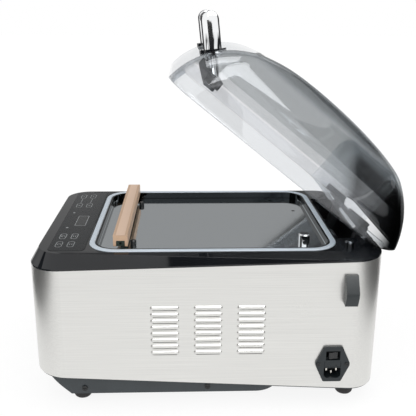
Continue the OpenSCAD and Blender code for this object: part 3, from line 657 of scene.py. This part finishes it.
def rod_mesh(bm, start, end, r, place):
    """A closed round rod: place(reach, a, b) gives a point so far along it and off its middle."""
    loops = []
    for reach, size in ((start, r - ROD_EDGE), (start + ROD_EDGE, r),
                        (end - ROD_EDGE, r), (end, r - ROD_EDGE)):
        loop = []
        for i in range(ROD_TURNS):
            turn = 2 * math.pi * i / ROD_TURNS
            loop.append(bm.verts.new(place(reach, size * math.cos(turn), size * math.sin(turn))))
        loops.append(loop)
    for a, b in zip(loops, loops[1:]):
        for i in range(ROD_TURNS):
            k = (i + 1) % ROD_TURNS
            bm.faces.new((a[i], a[k], b[k], b[i]))
    bm.faces.new(list(reversed(loops[0])))
    bm.faces.new(loops[-1])


def handle_plating(name):
    """Mirror plating with a painted reflection of the dark lid near its feet and a painted dark
    reflection at its edges.
    """
    n = Nodes(name)
    foot = grip_at(0, 0, GRIP_SEAT)
    outward = (grip_at(0, 0, GRIP_TOP) - foot).normalized()
    foot_at = foot.dot(outward)
    # painted reflection of the dark lid, in streaks, near the handle's feet
    near_foot = n.to_range(n.along(outward), 1.0, 0.0, foot_at + 12 * MM, foot_at + 22 * MM)
    streaks = n.noise(n.coords((260, 260, 20)), 1.0, detail=2.0)
    painted_lid_reflection = n.maths("MULTIPLY", near_foot, n.to_range(streaks, 1.0, 0.1, 0.48, 0.56))
    painted_dark_reflection = n.maths("MAXIMUM", painted_lid_reflection, n.to_range(n.facing(), 0.0, 1.0, 0.35, 0.62))
    # painted reflection: the plating's colour turns dark away from where it faces the eye
    colour = n.ramp(n.facing(), (0.90, 0.91, 0.92), (0.16, 0.16, 0.17), 0.06, 0.24)
    return plating(n, streaks, colour, (0.03, 0.06), 0.4, painted_dark_reflection, (0.010, 0.010, 0.012))


bm = bmesh.new()
rod_mesh(bm, -BAR_REACH, BAR_REACH, BAR_R,
         lambda reach, a, b: grip_at(reach, a, GRIP_TOP - GRIP_W / 2 + b))
for end_x in (-PLATE_X, PLATE_X):
    plate_mesh(bm, end_x)
    rod_mesh(bm, PIN_FROM, PIN_TO, PIN_R, lambda reach, a, b: grip_at(end_x + a, b, reach))
bmesh.ops.remove_doubles(bm, verts=bm.verts, dist=SAME_POINT / 2)
bmesh.ops.recalc_face_normals(bm, faces=bm.faces)
handle_mesh = bpy.data.meshes.new("handle_chrome")
bm.to_mesh(handle_mesh)
bm.free()
handle_mesh.materials.append(handle_plating("handle_plating"))
handle = bpy.data.objects.new("handle_chrome", handle_mesh)
scene.collection.objects.link(handle)
settle(handle, 40)
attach(handle, "lid")
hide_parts("lid_handle")

# ---------------------------------------------------------------- marks on the touch panel

PRINT_LIFT = 0.05                              # how far the print stands out of the panel


def flat_marks(name, outlines, material):
    """Thin printed lines on the panel: each outline is (points, line width, closed)."""
    verts, faces = [], []
    for points, width, closed in outlines:
        count = len(points)
        base = len(verts)
        for i, (x, y) in enumerate(points):
            before = points[i - 1] if closed or i else points[i]
            after = points[(i + 1) % count] if closed or i < count - 1 else points[i]
            dx, dy = after[0] - before[0], after[1] - before[1]
            size = math.hypot(dx, dy) or 1.0
            nx, ny = -dy / size * width / 2, dx / size * width / 2
            for side in (-1, 1):
                for up in (0, PRINT_LIFT):
                    verts.append(at(x + side * nx, y + side * ny, panel_top + up))
        steps = count if closed else count - 1
        for i in range(steps):
            a, b = base + 4 * i, base + 4 * ((i + 1) % count)
            faces += [(a + 1, a + 3, b + 3, b + 1), (a, b, b + 2, a + 2),
                      (a, a + 1, b + 1, b), (a + 2, b + 2, b + 3, a + 3)]
        if not closed:
            a, b = base, base + 4 * (count - 1)
            faces += [(a, a + 2, a + 3, a + 1), (b, b + 1, b + 3, b + 2)]
    new_piece(name, verts, faces, material, "base", smooth=False)


def oval(x, y, wide, deep, width, turns=28):
    """A stadium-shaped line round (x, y)."""
    r, reach = deep / 2, (wide - deep) / 2
    points = []
    for end, start in ((1, -90), (-1, 90)):
        for i in range(turns // 2 + 1):
            a = math.radians(start + 180 * i / (turns // 2))
            points.append((x + end * reach + r * math.cos(a), y + r * math.sin(a)))
    return points, width, True


def ring(x, y, r, width, turns=18, start=0, span=360):
    """A round line, or the part of one that starts and spans so many degrees."""
    closed = span == 360
    steps = turns if closed else turns + 1
    return [(x + r * math.cos(math.radians(start + span * i / turns)),
             y + r * math.sin(math.radians(start + span * i / turns)))
            for i in range(steps)], width, closed


def rounded_box(lo, hi, r, width, turns=6):
    """A line round a box with rounded corners."""
    points = []
    for cx, cy, start in ((hi[0] - r, hi[1] - r, 0), (lo[0] + r, hi[1] - r, 90),
                          (lo[0] + r, lo[1] + r, 180), (hi[0] - r, lo[1] + r, 270)):
        for i in range(turns + 1):
            a = math.radians(start + 90 * i / turns)
            points.append((cx + r * math.cos(a), cy + r * math.sin(a)))
    return points, width, True


def stroke(width, *points):
    """An open line through points."""
    return list(points), width, False


KEY_ROWS = (-206.0, -189.7)
KEY_PLACES = (118.0, 85.0, -66.0, -118.0)
KEY_WIDE, KEY_DEEP = 21.5, 8.6
LAMPS, LAMP_R = ((-26, -208), (47, -207)), 1.3
DISPLAY_LO, DISPLAY_HI, DISPLAY_CORNER = (-9, -197.4), (38, -181.7), 2.0
LINE, LAMP_LINE = 0.75, 1.4                     # widths of the printed lines
JOIN = (-104, -80)                              # the ends of the bars between joined keys
SIGN_R, RULE_HALF, PLUS_HALF = 2.3, 2.6, 2.4    # half-sizes of the signs in the keys
marks = [oval(x, y, KEY_WIDE, KEY_DEEP, LINE) for x in KEY_PLACES for y in KEY_ROWS]
for y in KEY_ROWS:                              # bars that join the two minus and plus keys
    marks.append(stroke(LINE, (JOIN[0], y), (JOIN[1], y)))
for x in KEY_PLACES[:2]:                        # generic signs in the four function keys
    marks.append(ring(x, KEY_ROWS[0], SIGN_R, LINE, start=60, span=300))
    for y in (KEY_ROWS[1] - 1.6, KEY_ROWS[1] + 1.4):
        marks.append(stroke(LINE, (x - RULE_HALF, y), (x + RULE_HALF, y)))
for x, crossed in ((KEY_PLACES[2], True), (KEY_PLACES[3], False)):
    for y in KEY_ROWS:
        marks.append(stroke(LINE, (x - PLUS_HALF, y), (x + PLUS_HALF, y)))
        if crossed:
            marks.append(stroke(LINE, (x, y - PLUS_HALF), (x, y + PLUS_HALF)))
for x, y in LAMPS:                              # small lamps beside the display
    marks.append(ring(x, y, LAMP_R, LAMP_LINE, turns=12))
marks.append(rounded_box(DISPLAY_LO, DISPLAY_HI, DISPLAY_CORNER, LINE))
flat_marks("panel_marks", marks, PRINT)

# ---------------------------------------------------------------- stage, light and camera

LENS, SENSOR = 55.91, 36.0
EYE = at(966.6, -30.1, 544.5)
EYE_TURN, EYE_DIP, EYE_ROLL = (math.radians(a) for a in (87.91, 17.293, 0.33))
camera_data = bpy.data.cameras.new("camera")
camera_data.lens, camera_data.sensor_width = LENS, SENSOR
camera = bpy.data.objects.new("camera", camera_data)
scene.collection.objects.link(camera)
camera.matrix_world = (
    Matrix.Translation(EYE)
    @ Matrix.Rotation(EYE_TURN, 4, "Z")
    @ Matrix.Rotation(math.pi / 2 - EYE_DIP, 4, "X")
    @ Matrix.Rotation(EYE_ROLL, 4, "Z")
)
scene.camera = camera

FAR_SKY = 0.28                                  # the studio is darker on the far side
DIM_FROM, DIM_TO = -0.30, -0.75                 # where it turns dark, as a direction's own X
world = bpy.data.worlds.new("studio")
scene.world = world
world.use_nodes = True
sky = world.node_tree
background = sky.nodes["Background"]
background.inputs["Color"].default_value = (1, 1, 1, 1)
looking = sky.nodes.new("ShaderNodeTexCoord")
split = sky.nodes.new("ShaderNodeSeparateXYZ")
sky.links.new(looking.outputs["Generated"], split.inputs["Vector"])
away = sky.nodes.new("ShaderNodeMapRange")
away.interpolation_type = "SMOOTHSTEP"
away.inputs["From Min"].default_value = DIM_FROM
away.inputs["From Max"].default_value = DIM_TO
away.inputs["To Min"].default_value = 1.0
away.inputs["To Max"].default_value = FAR_SKY
sky.links.new(split.outputs["X"], away.inputs["Value"])
seen = sky.nodes.new("ShaderNodeLightPath")     # and white wherever it is seen directly
brightness = sky.nodes.new("ShaderNodeMath")
brightness.operation = "MAXIMUM"
sky.links.new(away.outputs["Result"], brightness.inputs[0])
sky.links.new(seen.outputs["Is Camera Ray"], brightness.inputs[1])
sky.links.new(brightness.outputs[0], background.inputs["Strength"])
scene.cycles.transparent_max_bounces = 32
scene.view_settings.view_transform = "Standard"


def pale_floor():
    """A near-white studio floor, lit a little from within so that it meets the white behind it."""
    n = Nodes("floor")
    surface = n.principled(roughness=0.9, specular_ior_level=0.1, emission_strength=0.88)
    surface.inputs["Emission Color"].default_value = (1, 1, 1, 1)
    mottle = n.noise(n.coords(), 40.0)
    n.link(n.ramp(mottle, (0.15, 0.15, 0.15), (0.16, 0.16, 0.16)), surface.inputs["Base Color"])
    return n.material


# the studio's own sizes and places are in metres

def rectangle(lo, hi):
    """The corners of an upright or level rectangle, from two opposite ones."""
    (x0, y0, z0), (x1, y1, z1) = lo, hi
    if z0 == z1:
        return [(x0, y0, z0), (x1, y0, z0), (x1, y1, z0), (x0, y1, z0)]
    return [(x0, y0, z0), (x1, y1, z0), (x1, y1, z1), (x0, y0, z1)]


def stage_sheet(name, corners, material):
    """One flat four-cornered piece of the studio."""
    mesh = bpy.data.meshes.new(name)
    mesh.from_pydata(corners, [], [(0, 1, 2, 3)])
    mesh.materials.append(material)
    sheet = bpy.data.objects.new(name, mesh)
    scene.collection.objects.link(sheet)
    return sheet


def only_in_reflections(sheet):
    """Hides a piece of the studio from everything but shiny surfaces."""
    sheet.visible_camera = sheet.visible_diffuse = False
    sheet.visible_transmission = sheet.visible_shadow = False


def dark_card(name, corners):
    """A black studio flag that only shiny surfaces see."""
    black = plain_material(name, (0.03, 0.03, 0.03), 0.9, vary=0.05, bump=0.0)
    only_in_reflections(stage_sheet(name, corners, black))


def softbox(name, corners, strength):
    """A glowing white panel that only shiny surfaces see."""
    glow = Nodes(name)
    lamp = glow.add("ShaderNodeEmission")
    lamp.inputs["Strength"].default_value = strength
    glow.link(lamp.outputs["Emission"], glow.out.inputs["Surface"])
    only_in_reflections(stage_sheet(name, corners, glow.material))


def seen_from_lid(azimuth, elevation, reach=2.0):
    """A place so far from the lid: azimuth 0 is across to the body's right-hand side."""
    a, e = math.radians(azimuth), math.radians(elevation)
    return (0.1 + reach * math.cos(e) * math.cos(a), reach * math.cos(e) * math.sin(a),
            0.45 + reach * math.sin(e))


FLOOR_REACH = 12.0
FLAG_LEFT, FLAG_RIGHT, FLAG_TOP, FLAG_LIFT = -0.2, 1.4, 1.2, 0.002
ROOF_Z = 2.2
SKY_X = -3.5                                    # the upright softboxes' distance on the far side
stage_sheet("floor", rectangle((-FLOOR_REACH, -FLOOR_REACH, 0), (FLOOR_REACH, FLOOR_REACH, 0)),
            pale_floor())
for side, near, far in (("front", -0.55, -1.3), ("rear", 0.52, 1.3)):
    dark_card(side + "_floor_flag",
              rectangle((FLAG_LEFT, near, FLAG_LIFT), (FLAG_RIGHT, far, FLAG_LIFT)))
    dark_card(side + "_wall_flag", rectangle((FLAG_LEFT, far, 0), (FLAG_RIGHT, far, FLAG_TOP)))
dark_card("roof_flag", rectangle((0.40, -0.19, ROOF_Z), (1.2, 1.2, ROOF_Z)))
dark_card("chamber_flag", [(-1, 0.14, 0.70), (-1, 0.47, 0.40), (-1, 1.1, 0.40), (-1, 1.1, 0.70)])
dark_card("camera_flag", rectangle((0.95, -0.13, 0.12), (0.95, 0.10, 0.512)))
BRIGHT, MEDIUM, DIM = 5.5, 1.0, 0.5
softbox("side_softbox", [seen_from_lid(-8, 15), seen_from_lid(50, 26), seen_from_lid(69, 45),
                         seen_from_lid(0, 75)], BRIGHT)
softbox("front_softbox", rectangle((SKY_X, -2.4, 0.8), (SKY_X, -0.7, 2.4)), DIM)
softbox("horizon_softbox", rectangle((SKY_X, -0.9, 0.05), (SKY_X, 0.5, 0.95)), MEDIUM)
softbox("top_softbox", rectangle((-0.5, -0.6, ROOF_Z), (0.39, 0.5, ROOF_Z)), BRIGHT)
